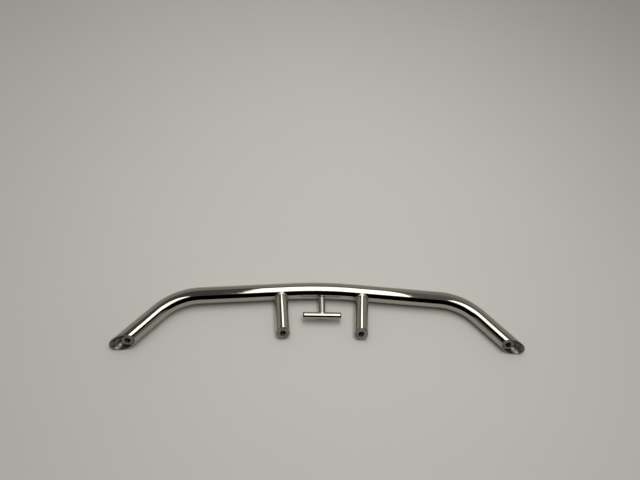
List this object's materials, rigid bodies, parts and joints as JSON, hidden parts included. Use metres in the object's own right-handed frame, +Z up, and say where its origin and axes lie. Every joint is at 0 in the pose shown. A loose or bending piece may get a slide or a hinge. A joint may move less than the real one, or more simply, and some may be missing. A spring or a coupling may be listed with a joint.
{
  "type": "grab rail",
  "caption": "Polished stainless steel grab rail for a boat: a bent tube with slanting feet, tapped posts and a T-shaped hook for a line.",
  "frame": {"origin": "middle of the bottom of the rail as it lies on its side", "axes": "+X along the rail, -Y from the crown towards the feet that meet the deck, +Z up off the surface the rail lies on"},
  "size_m": [0.5968, 0.107, 0.0251],
  "materials": {
    "polished_steel": "mirror-polished stainless steel",
    "machined_steel": "turned stainless steel, dull",
    "weld_steel": "brushed weld bead"
  },
  "bodies": {
    "root": {"rail_tube": "polished_steel", "foot_insert_left": "machined_steel", "foot_insert_right": "machined_steel", "insert_weld_left": "weld_steel", "insert_weld_right": "weld_steel", "post_left": "polished_steel", "post_right": "polished_steel", "post_weld_left": "weld_steel", "post_weld_right": "weld_steel", "hook_stem": "polished_steel", "hook_bar": "polished_steel", "stem_weld": "weld_steel", "bar_weld": "weld_steel"}
  },
  "joints": []
}
